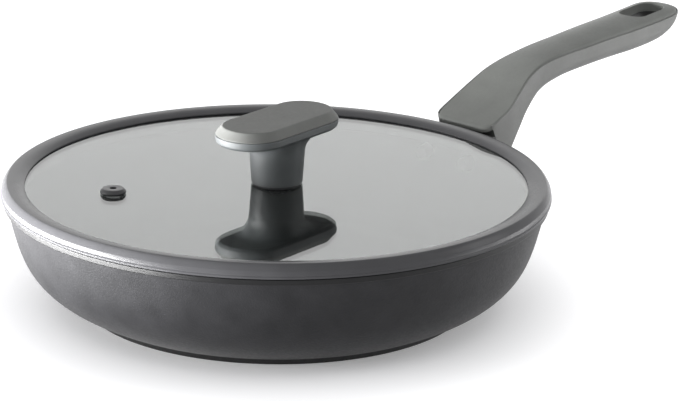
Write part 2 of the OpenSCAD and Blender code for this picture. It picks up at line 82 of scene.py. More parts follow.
def wall_line(low, high):
    """Points of the curved wall between two corners, as (r, z); they lie closer at its foot."""
    points = []
    for i in range(WALL_STEPS + 1):
        t = (i / WALL_STEPS) ** WALL_CROWDING
        out = WALL_STRAIGHT * t + (1 - WALL_STRAIGHT) * (1 - (1 - t) ** WALL_ROUNDNESS)
        points.append((low[0] + (high[0] - low[0]) * out, low[1] + (high[1] - low[1]) * t))
    return points


def rounded(corners, steps=6):
    """Closed outline through (r, z) corners, rounded where a corner gives a third value."""
    outline = []
    for i, corner in enumerate(corners):
        here = Vector(corner[:2])
        if len(corner) < 3:
            outline.append(tuple(here))
            continue
        back = (Vector(corners[i - 1][:2]) - here).normalized()
        ahead = (Vector(corners[(i + 1) % len(corners)][:2]) - here).normalized()
        half = back.angle(ahead) / 2
        centre = here + (back + ahead).normalized() * corner[2] / math.sin(half)
        first = here + back * corner[2] / math.tan(half) - centre
        last = here + ahead * corner[2] / math.tan(half) - centre
        for k in range(steps + 1):
            spoke = first.lerp(last, k / steps).normalized() * corner[2]
            outline.append(tuple(centre + spoke))
    return outline


def add_piece(name, verts, faces):
    """Mesh object with outward faces, smooth but for its sharp edges."""
    mesh = bpy.data.meshes.new(name)
    mesh.from_pydata(verts, [], faces)
    shape = bmesh.new()
    shape.from_mesh(mesh)
    bmesh.ops.remove_doubles(shape, verts=shape.verts, dist=MERGE * MM)
    bmesh.ops.recalc_face_normals(shape, faces=shape.faces)
    shape.to_mesh(mesh)
    shape.free()
    mesh.shade_smooth()
    mesh.set_sharp_from_angle(angle=math.radians(SHARP_ANGLE))
    piece = bpy.data.objects.new(name, mesh)
    bpy.context.scene.collection.objects.link(piece)
    return piece


def lathe_shape(outline, sides, centre=(0, 0)):
    """Points and faces of an outline turned about an upright axis."""
    verts, faces, rings = [], [], []
    for r, z in outline:
        steps = sides if r > 0 else 1
        rings.append([len(verts) + k for k in range(steps)])
        for k in range(steps):
            a = FULL_TURN * k / sides
            x, y = centre[0] + r * math.cos(a), centre[1] + r * math.sin(a)
            verts.append((x * MM, y * MM, z * MM))
    for low, high in zip(rings, rings[1:] + rings[:1]):
        for k in range(sides):
            corners = [low[k % len(low)], low[(k + 1) % len(low)],
                       high[(k + 1) % len(high)], high[k % len(high)]]
            corners = list(dict.fromkeys(corners))
            if len(corners) > 2:
                faces.append(corners)
    return verts, faces


def joined(shapes):
    """Points and faces of several shapes as one."""
    verts, faces = [], []
    for some_verts, some_faces in shapes:
        faces += [[len(verts) + i for i in face] for face in some_faces]
        verts += some_verts
    return verts, faces


def evened(piece):
    """Keeps the shading of broad faces flat, so that the small rounds beside them don't bend it."""
    even = piece.modifiers.new("even", "WEIGHTED_NORMAL")
    even.keep_sharp = True
    bpy.context.view_layer.objects.active = piece
    bpy.ops.object.modifier_apply(modifier=even.name)


# each wall's lowest points give way to the round of its corner
UNDERCUT_STEPS = 2
FLOOR_CORNER_STEPS = 8
outer_wall = wall_line((EDGE_R, FOOT_H), (WALL_TOP_R, BAND_Z))[UNDERCUT_STEPS:]
inner_wall = wall_line((INNER_R, BASE_T), (LAND_R, LAND_Z))[FLOOR_CORNER_STEPS:]
pan_outline = rounded(
    [(0, PLATE_T), (PLATE_R, PLATE_T), (PLATE_R, 0, PLATE_SEAM_R), (FOOT_R, 0, FOOT_EDGE_R),
     (EDGE_R, FOOT_H, UNDERCUT_R)] + outer_wall
    + [(BAND_R, BAND_Z + BAND_EDGE_R, BAND_EDGE_R), (BAND_R, PAN_H, RIM_EDGE_R),
       (LAND_R, PAN_H, RIM_EDGE_R)]
    + inner_wall[::-1] + [(INNER_R - 1, BASE_T, FLOOR_CORNER_R), (0, BASE_T)])
plugs = []
for ring_r, holes in PLATE_RINGS:
    for k in range(holes):
        a = FULL_TURN * (k + 1) / holes
        plug_outline = rounded([(0, PLATE_T + PLUG_ROOT), (PLATE_HOLE_R, PLATE_T + PLUG_ROOT),
                                (PLATE_HOLE_R, 0, PLUG_SEAM_R), (0, 0)], 3)
        plugs.append(lathe_shape(plug_outline, PLUG_SIDES,
                                 (ring_r * math.cos(a), ring_r * math.sin(a))))
pan = add_piece("pan_casting", *joined([lathe_shape(pan_outline, ROUND_SIDES)] + plugs))


def linear(hex_colour):
    """Linear colour of an sRGB hex value."""
    parts = [int(hex_colour[i:i + 2], 16) / 255 for i in (1, 3, 5)]
    return tuple(v / 12.92 if v <= 0.04045 else ((v + 0.055) / 1.055) ** 2.4 for v in parts) + (1,)


def add(material, kind, settings, links=()):
    """Adds one node with its settings, and links outputs to its inputs as (input, output)."""
    made = material.node_tree.nodes.new(kind)
    for key, value in settings.items():
        if isinstance(key, str) and hasattr(made, key):
            setattr(made, key, value)
        else:
            made.inputs[key].default_value = value
    for key, source in links:
        material.node_tree.links.new(source, made.inputs[key])
    return made


def new_material(name):
    """Node material without nodes."""
    material = bpy.data.materials.new(name)
    material.use_nodes = True
    material.node_tree.nodes.clear()
    return material


# most values of a noise texture lie in this range
NOISE_LOW = 0.3
NOISE_HIGH = 0.7
GRAIN_STRENGTH = 0.6


def finished(name, tones, cloud, gloss, smear, grain, height, settings):
    """Surface in two tones that drift in soft clouds, with smears of gloss and a raised grain.

    The sizes of clouds, smears and grain, and the grain's height, are in millimetres. A real grain
    of 0.1 to 0.3 mm is too fine to show in the render, so each grain is drawn coarser."""
    material = new_material(name)
    place = add(material, "ShaderNodeTexCoord", {}).outputs["Object"]
    clouds = add(material, "ShaderNodeTexNoise", {"Scale": 1 / (cloud * MM), "Detail": 3},
                 [("Vector", place)])
    drift = add(material, "ShaderNodeMapRange", {"From Min": NOISE_LOW, "From Max": NOISE_HIGH},
                [("Value", clouds.outputs["Fac"])])
    tone = add(material, "ShaderNodeMix",
               {"data_type": "RGBA", 6: linear(tones[0]), 7: linear(tones[1])},
               [("Factor", drift.outputs["Result"])])
    smears = add(material, "ShaderNodeTexNoise", {"Scale": 1 / (smear * MM), "Detail": 3},
                 [("Vector", place)])
    roughness = add(material, "ShaderNodeMapRange", {
        "From Min": NOISE_LOW, "From Max": NOISE_HIGH, "To Min": gloss[0], "To Max": gloss[1]},
        [("Value", smears.outputs["Fac"])])
    grains = add(material, "ShaderNodeTexNoise", {"Scale": 1 / (grain * MM), "Detail": 2},
                 [("Vector", place)])
    raised = add(material, "ShaderNodeBump", {"Distance": height * MM, "Strength": GRAIN_STRENGTH},
                 [("Height", grains.outputs["Fac"])])
    shader = add(material, "ShaderNodeBsdfPrincipled", settings, [
        ("Base Color", tone.outputs[2]), ("Roughness", roughness.outputs["Result"]),
        ("Normal", raised.outputs["Normal"])])
    add(material, "ShaderNodeOutputMaterial", {}, [("Surface", shader.outputs["BSDF"])])
    return material


def dress(piece, material):
    """Gives a piece this material alone."""
    piece.data.materials.clear()
    piece.data.materials.append(material)


# Baked outer coat: nearly black, with ceramic grit that turns side light into a sandy glow
outer_coat = finished("baked_ceramic_coat", ("#1c1c1e", "#262628"), 14, (0.44, 0.54), 1.6,
                      0.9, 0.2, {"IOR": 1.3, "Sheen Weight": 0.05, "Sheen Roughness": 0.4})
# Fluoropolymer coat of the inside: black, smoother and darker than the wall's coat. On the foot the
# same black is painted shade for the contact shadow where the pan stands
inner_coat_and_foot_shade = finished("non_stick_coat_and_painted_foot_shade", ("#0e0e0f", "#131314"), 14, (0.5, 0.6), 3,
                      1.2, 0.01, {"IOR": 1.33})
# The band round the rim is turned smooth before it is coated, so it is glossier than the wall
rim_coat = finished("coated_turned_rim", ("#0f0f10", "#141415"), 14, (0.34, 0.42), 1.6,
                    1.2, 0.01, {"IOR": 1.33})
dress(pan, outer_coat)
pan.data.materials.append(inner_coat_and_foot_shade)
pan.data.materials.append(rim_coat)
INSIDE_FROM_Z = BASE_T - 1
INSIDE_TO_Z = PAN_H - 1
FOOT_SHADE_Z = FOOT_H - 0.2
BAND_COAT_Z = BAND_Z + 0.4
FACING_UP = 0.7
for face in pan.data.polygons:
    x, y, z = face.center / MM
    inward = face.normal.x * x + face.normal.y * y < 0 or face.normal.z > FACING_UP
    # faces low on the foot take the black as painted shade of the pan's contact shadow on the table
    if inward and INSIDE_FROM_Z < z < INSIDE_TO_Z or z < FOOT_SHADE_Z:
        face.material_index = 1
    elif z > BAND_COAT_Z:
        face.material_index = 2
evened(pan)
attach(pan, "pan")
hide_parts("pan_body")


# INDUCTION PLATE
# A thin disc of ferritic steel is pressed into the foot so that the pan works on induction
# hobs. The casting's aluminium fills its rings of holes, and the face is turned flat.

# Turned ferritic steel: grey metal whose tool rings stretch the highlights. The real rings lie
# about 0.2 mm apart and are drawn coarser so that they show
TOOL_RING = 0.9
# a wave texture of scale 1 has this many rings to the unit
RINGS_PER_UNIT = 20
STAIN = 3
plate_steel = new_material("turned_ferritic_steel")
place = add(plate_steel, "ShaderNodeTexCoord", {}).outputs["Object"]
rings = add(plate_steel, "ShaderNodeTexWave", {
    "wave_type": "RINGS", "rings_direction": "Z",
    "Scale": 1 / (RINGS_PER_UNIT * TOOL_RING * MM), "Distortion": 0.4, "Detail": 2},
    [("Vector", place)])
grooves = add(plate_steel, "ShaderNodeBump", {"Distance": 0.01 * MM, "Strength": 0.5},
              [("Height", rings.outputs["Fac"])])
stains = add(plate_steel, "ShaderNodeTexNoise", {"Scale": 1 / (STAIN * MM)}, [("Vector", place)])
dulled = add(plate_steel, "ShaderNodeMapRange", {"To Min": 0.24, "To Max": 0.44},
             [("Value", stains.outputs["Fac"])])
shader = add(plate_steel, "ShaderNodeBsdfPrincipled", {
    "Metallic": 1.0, "Base Color": linear("#b9b9b6")},
    [("Roughness", dulled.outputs["Result"]), ("Normal", grooves.outputs["Normal"])])
add(plate_steel, "ShaderNodeOutputMaterial", {}, [("Surface", shader.outputs["BSDF"])])
dress(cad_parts["induction_plate"], plate_steel)


# HANDLE BRACKET AND RIVETS
# A black coated casting hugs the wall under the rim, with an upright lip beside the lid and a
# tang that runs into the handle. Two aluminium rivets through the wall hold it.

# Black electro-coat on a casting: deep black with a soft satin gloss
black_coat = finished("black_coated_casting", ("#131314", "#1a1a1c"), 9, (0.42, 0.55), 2.5,
                      1.2, 0.03, {})
# Turned aluminium: pale, bright metal with faint tool marks
rivet_metal = finished("turned_aluminium", ("#c5c6c4", "#cdcecc"), 5, (0.3, 0.42), 1.5,
                       0.6, 0.01, {"Metallic": 1.0})

# edges sharper than BEVEL_ANGLE are broken, once faces within FLAT_ANGLE are merged
FLAT_ANGLE = 1
BEVEL_ANGLE = 40
BEVEL_STEPS = 3


def soft_edged(name, node, width):
    """Copy of a CAD node whose sharp edges are broken by this many millimetres."""
    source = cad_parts[node]
    shape = bmesh.new()
    shape.from_mesh(source.data)
    bmesh.ops.remove_doubles(shape, verts=shape.verts, dist=MERGE * MM)
    bmesh.ops.dissolve_limit(shape, angle_limit=math.radians(FLAT_ANGLE), verts=shape.verts,
                             edges=shape.edges)
    mesh = bpy.data.meshes.new(name)
    shape.to_mesh(mesh)
    shape.free()
    piece = bpy.data.objects.new(name, mesh)
    bpy.context.scene.collection.objects.link(piece)
    edge = piece.modifiers.new("edge", "BEVEL")
    edge.width = width * MM
    edge.segments = BEVEL_STEPS
    edge.limit_method = "ANGLE"
    edge.angle_limit = math.radians(BEVEL_ANGLE)
    bpy.context.view_layer.objects.active = piece
    bpy.ops.object.modifier_apply(modifier=edge.name)
    piece.data.shade_smooth()
    piece.data.set_sharp_from_angle(angle=math.radians(SHARP_ANGLE))
    return piece


bracket = soft_edged("cast_bracket", "handle_bracket", 0.6)
rivets = soft_edged("bracket_rivet_pair", "bracket_rivets", 0.4)
for piece, node, material in ((bracket, "handle_bracket", black_coat),
                              (rivets, "bracket_rivets", rivet_metal)):
    evened(piece)
    dress(piece, material)
    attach(piece, "pan")
    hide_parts(node)


# HANDLE
# The lower shell is moulded in grey nylon. It is hollow at its root for the bracket's tang,
# and a screw from below clamps it there. A soft-touch cover is let into its top and reaches
# forward as a nose over the pan's rim.
LID_R = BAND_R + 1.2
NOSE_X = LID_R + 2.5
HANDLE_LEN = 186
NOSE_Z = PAN_H + 8.6
HANDLE_RISE = 37.2
ROOT_W = 42.2
WAIST_W = 28.6
PALM_W = 31.8
ROOT_DEPTH = 34.5
WAIST_DEPTH = 13.7
BELLY_R = 5.5
BELLY_SHARE = 0.75
RIM_EDGE = 0.3
COVER_CROWN = 3.2
COVER_MARGIN = 0.8
COVER_GAP = 0.04
COVER_T = 3.2
COVER_EDGE_R = 0.6
NOSE_EDGE_R = 1.9
NOSE_EDGE_RUN = 14
PALM_EDGE_R = 1.4
PALM_FROM = 0.15
PALM_RUN = 0.35
NOSE_CORNER_R = 6
FRONT_R = LID_R + 10.2
CHEEK_LEAN = 4.2
CHEEK_H = 11
SLOT_X = NOSE_X + HANDLE_LEN - 25.4
SLOT_LEN = 31.2
SLOT_W = 17.6
SLOT_LIP_R = 0.5
TIP_CENTRE_X = NOSE_X + HANDLE_LEN - PALM_W / 2
CORNER_ROWS = 9
ROWS = 110
TIP_ROWS = 22
COLUMNS = 16
QUARTER_STEPS = 6
CUT_OVER = 1
# share of the length, of the rise, of the widening towards the root and towards the palm, of
# the deepening towards the root, and of the crown
HANDLE_SHARES = [
    (0.000, 0.000, 0.95, 0.00, 1.00, 0.00),
    (0.045, 0.105, 1.00, 0.00, 0.92, 0.01),
    (0.098, 0.234, 0.95, 0.00, 0.73, 0.03),
    (0.150, 0.398, 0.66, 0.00, 0.55, 0.07),
    (0.208, 0.573, 0.31, 0.00, 0.34, 0.13),
    (0.283, 0.704, 0.03, 0.00, 0.12, 0.25),
    (0.382, 0.780, 0.00, 0.00, 0.02, 0.45),
    (0.498, 0.825, 0.00, 0.12, 0.00, 0.65),
    (0.619, 0.868, 0.00, 0.44, 0.01, 0.80),
    (0.743, 0.900, 0.00, 0.81, 0.02, 0.95),
    (0.858, 0.944, 0.00, 1.00, -0.01, 1.00),
    (0.906, 0.970, 0.00, 1.00, -0.10, 0.90),
    (0.936, 0.984, 0.00, 1.00, -0.22, 0.70),
    (0.968, 0.994, 0.00, 1.00, -0.35, 0.36),
    (1.000, 1.000, 0.00, 1.00, -0.47, 0.00)]


def share(column, x):
    """One column of the handle's shares at a place x along the handle, on a smooth curve."""
    rows = HANDLE_SHARES
    t = min(max((x - NOSE_X) / HANDLE_LEN, 0), 1)
    i = max([k for k in range(len(rows) - 1) if rows[k][0] < t], default=0)
    span = rows[i + 1][0] - rows[i][0]
    u = (t - rows[i][0]) / span
    slopes = []
    for k in (i, i + 1):
        back, ahead = rows[max(k - 1, 0)], rows[min(k + 1, len(rows) - 1)]
        slopes.append(span * (ahead[column] - back[column]) / (ahead[0] - back[0]))
    return ((2 * u ** 3 - 3 * u ** 2 + 1) * rows[i][column] + (u ** 3 - 2 * u ** 2 + u) * slopes[0]
            + (3 * u ** 2 - 2 * u ** 3) * rows[i + 1][column] + (u ** 3 - u ** 2) * slopes[1])


def side_w(x):
    """Half the handle's width at x, before its tip is rounded."""
    return (WAIST_W + (ROOT_W - WAIST_W) * share(2, x) + (PALM_W - WAIST_W) * share(3, x)) / 2


def edge_z(x):
    """Height of the handle's upper edges at x."""
    return NOSE_Z + HANDLE_RISE * share(1, x)


def belly_z(x):
    """Height of the handle's underside at x."""
    return edge_z(x) - WAIST_DEPTH - (ROOT_DEPTH - WAIST_DEPTH) * share(4, x)


def belly_r(x):
    """Radius along the handle's lower edges at x."""
    return min(BELLY_R, BELLY_SHARE * (edge_z(x) - belly_z(x)))


def cover_z(x, y):
    """Height of the crowned top at a point."""
    return edge_z(x) + COVER_CROWN * share(5, x) * max(1 - (y / side_w(x)) ** 2, 0)


def rim_drop(x):
    """How far the shell's rim lies below the handle's upper edge at x: more towards the palm."""
    return PALM_EDGE_R * min(max((x - NOSE_X) / HANDLE_LEN - PALM_FROM, 0) / PALM_RUN, 1)


def lip_r(x):
    """Radius of the cover's edge at x: fine along its root, fuller at its nose and its palm."""
    nose = (NOSE_EDGE_R - COVER_EDGE_R) * max(1 - (x - NOSE_X) / NOSE_EDGE_RUN, 0) ** 2
    return COVER_EDGE_R + nose + rim_drop(x)


def half_plan(start, margin, corner_r=0):
    """Points of the handle's left outline from its root to its tip, drawn in by a margin."""
    points = []
    straight_x = start + corner_r
    if corner_r > 0:
        corner_y = side_w(straight_x) - margin - corner_r
        for k in range(CORNER_ROWS):
            a = math.pi / 2 * k / CORNER_ROWS
            points.append((straight_x - corner_r * math.cos(a), corner_y + corner_r * math.sin(a)))
    for k in range(ROWS):
        x = straight_x + (TIP_CENTRE_X - straight_x) * k / ROWS
        points.append((x, side_w(x) - margin))
    tip_r = PALM_W / 2 - margin
    for k in range(TIP_ROWS + 1):
        a = math.pi / 2 * k / TIP_ROWS
        points.append((TIP_CENTRE_X + tip_r * math.sin(a), tip_r * math.cos(a)))
    return points


def drawn_in(outline, distance):
    """Half outline moved inwards by a distance that is given for each place x."""
    moved = []
    last = len(outline) - 1
    for k, (x, y) in enumerate(outline):
        ahead, back = outline[min(k + 1, last)], outline[max(k - 1, 0)]
        along = Vector((ahead[0] - back[0], ahead[1] - back[1])).normalized()
        if k == last:
            along = Vector((0, -1))
        moved.append((x + along.y * distance(x), max(y - along.x * distance(x), 0)))
    return moved


def sheet(outline, height):
    """Rows of points across the area inside a half outline, at the height of each place."""
    rows = []
    for x, half in outline:
        across = [half * (1 - 2 * c / COLUMNS) for c in range(COLUMNS + 1)]
        rows.append([(x * MM, y * MM, height(x, y) * MM) for y in across])
    return rows


def between_sheets(sheets):
    """Points and faces of a solid whose levels are sheets: the first and last close it."""
    verts, faces, rims = [], [], []
    for rows in (sheets[0], sheets[-1]):
        first = len(verts)
        verts += [point for row in rows for point in row]
        for a in range(first, first + (len(rows) - 1) * (COLUMNS + 1), COLUMNS + 1):
            for c in range(a, a + COLUMNS):
                faces.append([c, c + 1, c + COLUMNS + 2, c + COLUMNS + 1])
    for rows in sheets:
        rims.append(len(verts))
        verts += rows[0] + [row[-1] for row in rows[1:]] + [row[0] for row in rows[-2:0:-1]]
    around = len(verts) - rims[-1]
    for low, high in zip(rims, rims[1:]):
        for k in range(around):
            ahead = (k + 1) % around
            faces.append([low + k, low + ahead, high + ahead, high + k])
    return verts, faces


def oval(half, r, steps=28):
    """Outline from above of an oval with round ends of radius r, their centres half apart."""
    outline = []
    for end in (1, -1):
        for k in range(steps + 1):
            a = end * math.pi / 2 - math.pi * k / steps
            outline.append((end * half + r * math.cos(a), r * math.sin(a)))
    return outline


def stacked(loops):
    """Points and faces of a solid through loops with the same number of points."""
    count = len(loops[0])
    verts = [(x * MM, y * MM, z * MM) for loop in loops for x, y, z in loop]
    faces = [list(range(count)), list(range(len(verts) - count, len(verts)))]
    for low in range(0, len(verts) - count, count):
        for k in range(count):
            ahead = (k + 1) % count
            faces.append([low + k, low + ahead, low + count + ahead, low + count + k])
    return verts, faces


def cut_by(piece, cutter):
    """Cuts one shape out of a piece and removes the cutter."""
    cut = piece.modifiers.new("cut", "BOOLEAN")
    cut.operation = "DIFFERENCE"
    cut.solver = "EXACT"
    cut.object = cutter
    bpy.context.view_layer.objects.active = piece
    bpy.ops.object.modifier_apply(modifier=cut.name)
    bpy.data.objects.remove(cutter)
    piece.data.set_sharp_from_angle(angle=math.radians(SHARP_ANGLE))


# a quarter round in steps of (share of the way inwards, share of the way up)
quarter = []
for k in range(QUARTER_STEPS + 1):
    a = math.pi / 2 * k / QUARTER_STEPS
    quarter.append((1 - math.cos(a), math.sin(a)))

cover_plan = half_plan(NOSE_X, COVER_MARGIN, NOSE_CORNER_R)
cover_levels = [
    sheet(drawn_in(cover_plan, lambda x: RIM_EDGE), lambda x, y: edge_z(x) - COVER_T),
    sheet(cover_plan, lambda x, y: edge_z(x) - COVER_T + RIM_EDGE)]
for inwards, up in quarter:
    cover_levels.append(sheet(drawn_in(cover_plan, lambda x: inwards * lip_r(x)),
                              lambda x, y: cover_z(x, y) - (1 - up) * lip_r(x)))
cover = add_piece("soft_touch_cover", *between_sheets(cover_levels))

# the shell follows the cover's round corners and is then cut back round the pan's axis
pocket_plan = half_plan(NOSE_X - COVER_GAP, COVER_MARGIN - COVER_GAP, NOSE_CORNER_R + COVER_GAP)
shell_plan = half_plan(NOSE_X - COVER_MARGIN, 0, NOSE_CORNER_R + COVER_MARGIN)
shell_levels = [
    sheet(pocket_plan, lambda x, y: edge_z(x) - COVER_T - COVER_GAP),
    sheet(pocket_plan, lambda x, y: edge_z(x) - rim_drop(x) - RIM_EDGE / 3),
    sheet(drawn_in(pocket_plan, lambda x: -RIM_EDGE / 3), lambda x, y: edge_z(x) - rim_drop(x))]
for inwards, up in quarter[::-2]:
    shell_levels.append(sheet(drawn_in(shell_plan, lambda x: RIM_EDGE * inwards),
                              lambda x, y: edge_z(x) - rim_drop(x) - RIM_EDGE * (1 - up)))
# two more rows keep the side flat between the round of the rim and that of the belly
FLAT_BELOW_RIM = 1
FLAT_ABOVE_BELLY = 0.5
shell_levels.append(sheet(shell_plan, lambda x, y: edge_z(x) - rim_drop(x) - FLAT_BELOW_RIM))
shell_levels.append(sheet(shell_plan, lambda x, y: belly_z(x) + belly_r(x) + FLAT_ABOVE_BELLY))
for inwards, up in quarter:
    shell_levels.append(sheet(drawn_in(shell_plan, lambda x: inwards * belly_r(x)),
                              lambda x, y: belly_z(x) + belly_r(x) * (1 - up)))
shell = add_piece("handle_shell", *between_sheets(shell_levels))

cut_by(shell, add_piece("front_cutter", *lathe_shape([
    (0, 0), (FRONT_R, 0), (FRONT_R, PAN_H), (FRONT_R - CHEEK_LEAN, PAN_H + CHEEK_H),
    (FRONT_R - CHEEK_LEAN, 2 * NOSE_Z), (0, 2 * NOSE_Z)], ROUND_SIDES)))

# the slot's cutter flares at the cover's skin and at the belly, so both edges come out round
SLOT_HALF = (SLOT_LEN - SLOT_W) / 2
SLOT_FLARE = SLOT_LIP_R + 0.3


def slot_loop(grow, height):
    """Slot outline grown by some millimetres, at the height of each place."""
    return [(SLOT_X + x, y, height(SLOT_X + x, y)) for x, y in oval(SLOT_HALF, SLOT_W / 2 + grow)]


flares = [slot_loop(SLOT_FLARE, lambda x, y: cover_z(x, y) + CUT_OVER)]
for inwards, up in quarter[-2::-1]:
    flares.append(slot_loop(SLOT_LIP_R * inwards,
                            lambda x, y: cover_z(x, y) - SLOT_LIP_R * (1 - up)))
for inwards, up in quarter[:-1]:
    flares.append(slot_loop(SLOT_LIP_R * inwards, lambda x, y: belly_z(x) + SLOT_LIP_R * (1 - up)))
flares.append(slot_loop(SLOT_FLARE, lambda x, y: belly_z(x) - CUT_OVER))
for piece in (cover, shell):
    cut_by(piece, add_piece("slot_cutter", *stacked(flares)))

# the tang's socket and the stepped hole of its screw are cut along the tang
TANG_X = LID_R + 0.7
TANG_Z = PAN_H - 4.8
TANG_TILT = -30
TANG_FROM = 2
TANG_W = 24.3
TANG_H = 9.3
TANG_LEN = 37
SCREW_ALONG = 22
HOLE_SIDES = 48
SCREW_HOLE_R = 2.8
SCREW_SEAT = -8.15
HEAD_HOLE_R = 5.9
on_tang = (Matrix.Translation(Vector((TANG_X, 0, TANG_Z)) * MM)
           @ Matrix.Rotation(math.radians(TANG_TILT), 4, "Y"))
socket_plan = [(TANG_FROM, -TANG_W / 2), (TANG_LEN, -TANG_W / 2),
               (TANG_LEN, TANG_W / 2), (TANG_FROM, TANG_W / 2)]
socket = stacked([[(x, y, z) for x, y in socket_plan] for z in (-TANG_H / 2, TANG_H / 2)])
screw_hole = lathe_shape([
    (0, SCREW_SEAT - ROOT_DEPTH), (HEAD_HOLE_R, SCREW_SEAT - ROOT_DEPTH), (HEAD_HOLE_R, SCREW_SEAT),
    (SCREW_HOLE_R, SCREW_SEAT), (SCREW_HOLE_R, 0), (0, 0)], HOLE_SIDES, (SCREW_ALONG, 0))
for shape in (socket, screw_hole):
    cutter = add_piece("tang_cutter", *shape)
    cutter.data.transform(on_tang)
    cut_by(shell, cutter)

# Grey moulded nylon: satin, with the fine even grain of a spark-eroded mould
shell_nylon = finished("moulded_grey_nylon", ("#626361", "#686967"), 12, (0.5, 0.6), 2,
                       0.7, 0.02, {})
# Soft-touch elastomer skin: warm grey, nearly matt, with a faint velvet sheen
soft_touch = finished("soft_touch_skin", ("#5f615e", "#656764"), 15, (0.6, 0.7), 2, 0.8, 0.015,
                      {"Sheen Weight": 0.06, "Sheen Roughness": 0.4})
# Stainless screw steel: bright, cool metal with light machining marks
screw_steel = finished("stainless_screw_steel", ("#bbbcba", "#c3c4c2"), 4, (0.25, 0.38), 1.2,
                       0.5, 0.008, {"Metallic": 1.0})
# Painted shade on the walls of the slot through the shell: nearly black, it stays dark below the
# cover's pale lip, where the hole lies in shade
slot_shade = finished("painted_slot_shade", ("#1c1c1c", "#222222"), 8, (0.5, 0.6), 2,
                       0.8, 0.01, {})
for piece, node, material in ((shell, "handle_body", shell_nylon),
                              (cover, "handle_cover", soft_touch)):
    evened(piece)
    dress(piece, material)
    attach(piece, "pan")
    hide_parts(node)
shell.data.materials.append(slot_shade)
SLOT_SHADE_R = SLOT_W / 2 + 0.1
STEEP = 0.5
# the slot's upright walls in the shell take the painted shade
for face in shell.data.polygons:
    x, y, z = face.center / MM
    beyond = max(abs(x - SLOT_X) - SLOT_HALF, 0)
    if math.hypot(beyond, y) < SLOT_SHADE_R and abs(face.normal.z) < STEEP:
        face.material_index = 1
dress(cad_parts["handle_screw"], screw_steel)
dress(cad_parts["handle_washer"], screw_steel)


# LID RING
# A ring of grey silicone is moulded round the glass. Its crown and upright side show, its bed
# rests on the rim, and a skirt below centres the lid in the pan.
LID_Z = PAN_H + 0.1
RING_IN_R = LID_R - 12.5
CROWN_R = LID_R - 3.5
CROWN_Z = LID_Z + 7.65
CROWN_IN_POWER = 2.8
CROWN_OUT_POWER = 1.7
CROWN_STEPS = 18
SIDE_TOP_Z = LID_Z + 4.1
SIDE_TOP_R = LID_R - 0.5
GROOVE_LIP_R = LID_R - 0.2
GROOVE_LIP_Z = LID_Z + 2.3
GROOVE_R = LID_R - 0.3
GROOVE_Z = LID_Z + 1.9
GROOVE_FOOT_Z = LID_Z + 1.4
REVEAL_R = LID_R - 1.6
REVEAL_Z = LID_Z + 0.4
SIDE_EDGE_R = 0.25
BED_Z = LID_Z + 0.75
GLASS_GAP = 0.05
GLASS_Z = BED_Z + GLASS_GAP
GLASS_T = 3.9
GLASS_TOP = GLASS_Z + GLASS_T
GLASS_R = LID_R - 6
LIP_Z = GLASS_TOP + GLASS_GAP
LIP_TOP = LIP_Z + 0.7
LIP_EDGE_R = 0.2
LIP_UNDER_R = 0.15
SKIRT_R = LAND_R - 0.5
SKIRT_IN_R = SKIRT_R - 4
SKIRT_Z = LID_Z - 6.5
SKIRT_EDGE_R = 0.8
SKIRT_ROOT_R = 0.3

crown_in = []
crown_out = []
for i in range(1, CROWN_STEPS + 1):
    u = i / CROWN_STEPS
    crown_in.append((RING_IN_R + (CROWN_R - RING_IN_R) * u,
                     LIP_TOP + (CROWN_Z - LIP_TOP) * (1 - (1 - u) ** CROWN_IN_POWER)))
    crown_out.append((CROWN_R + (SIDE_TOP_R - CROWN_R) * u,
                      CROWN_Z - (CROWN_Z - SIDE_TOP_Z) * u ** CROWN_OUT_POWER))
ring_outline = rounded(
    [(RING_IN_R, LIP_TOP, LIP_EDGE_R)] + crown_in + crown_out
    + [(GROOVE_LIP_R, GROOVE_LIP_Z, LIP_EDGE_R), (GROOVE_R, GROOVE_Z),
       (LID_R, GROOVE_FOOT_Z, SIDE_EDGE_R), (LID_R, REVEAL_Z, SIDE_EDGE_R), (REVEAL_R, REVEAL_Z),
       (REVEAL_R, LID_Z), (SKIRT_R, LID_Z, SKIRT_ROOT_R), (SKIRT_R, SKIRT_Z, SKIRT_EDGE_R),
       (SKIRT_IN_R, SKIRT_Z, SKIRT_EDGE_R), (SKIRT_IN_R, BED_Z, SKIRT_ROOT_R),
       (GLASS_R + GLASS_GAP, BED_Z), (GLASS_R + GLASS_GAP, LIP_Z),
       (RING_IN_R, LIP_Z, LIP_UNDER_R)])
lid_ring = add_piece("silicone_ring", *lathe_shape(ring_outline, ROUND_SIDES))

# Grey silicone: even satin surface that goes pale towards grazing light
satin_silicone = finished("satin_grey_silicone", ("#414143", "#474749"), 18, (0.22, 0.27), 3,
                          1.4, 0.004, {"IOR": 1.27})
evened(lid_ring)
dress(lid_ring, satin_silicone)
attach(lid_ring, "lid")
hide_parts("lid_ring")


# GLASS
# Flat tempered glass with polished edges, drilled at its centre for the knob's screw and near
# its edge for the steam vent.
VENT_OUT = 87.8
VENT_ANGLE = math.radians(148.8)
VENT_HOLE_R = 4.5
SCREW_BORE_R = 4
BORE_EDGE_R = 0.3
GLASS_EDGE_R = 0.7
vent_place = (VENT_OUT * math.cos(VENT_ANGLE), VENT_OUT * math.sin(VENT_ANGLE))

glass_outline = rounded([
    (SCREW_BORE_R, GLASS_Z, BORE_EDGE_R), (GLASS_R, GLASS_Z, GLASS_EDGE_R),
    (GLASS_R, GLASS_TOP, GLASS_EDGE_R), (SCREW_BORE_R, GLASS_TOP, BORE_EDGE_R)])
glass = add_piece("glass_pane", *lathe_shape(glass_outline, ROUND_SIDES))
drill_outline = [(0, GLASS_Z - CUT_OVER), (VENT_HOLE_R, GLASS_Z - CUT_OVER),
                 (VENT_HOLE_R, GLASS_TOP + CUT_OVER), (0, GLASS_TOP + CUT_OVER)]
cut_by(glass, add_piece("vent_drill", *lathe_shape(drill_outline, HOLE_SIDES, vent_place)))

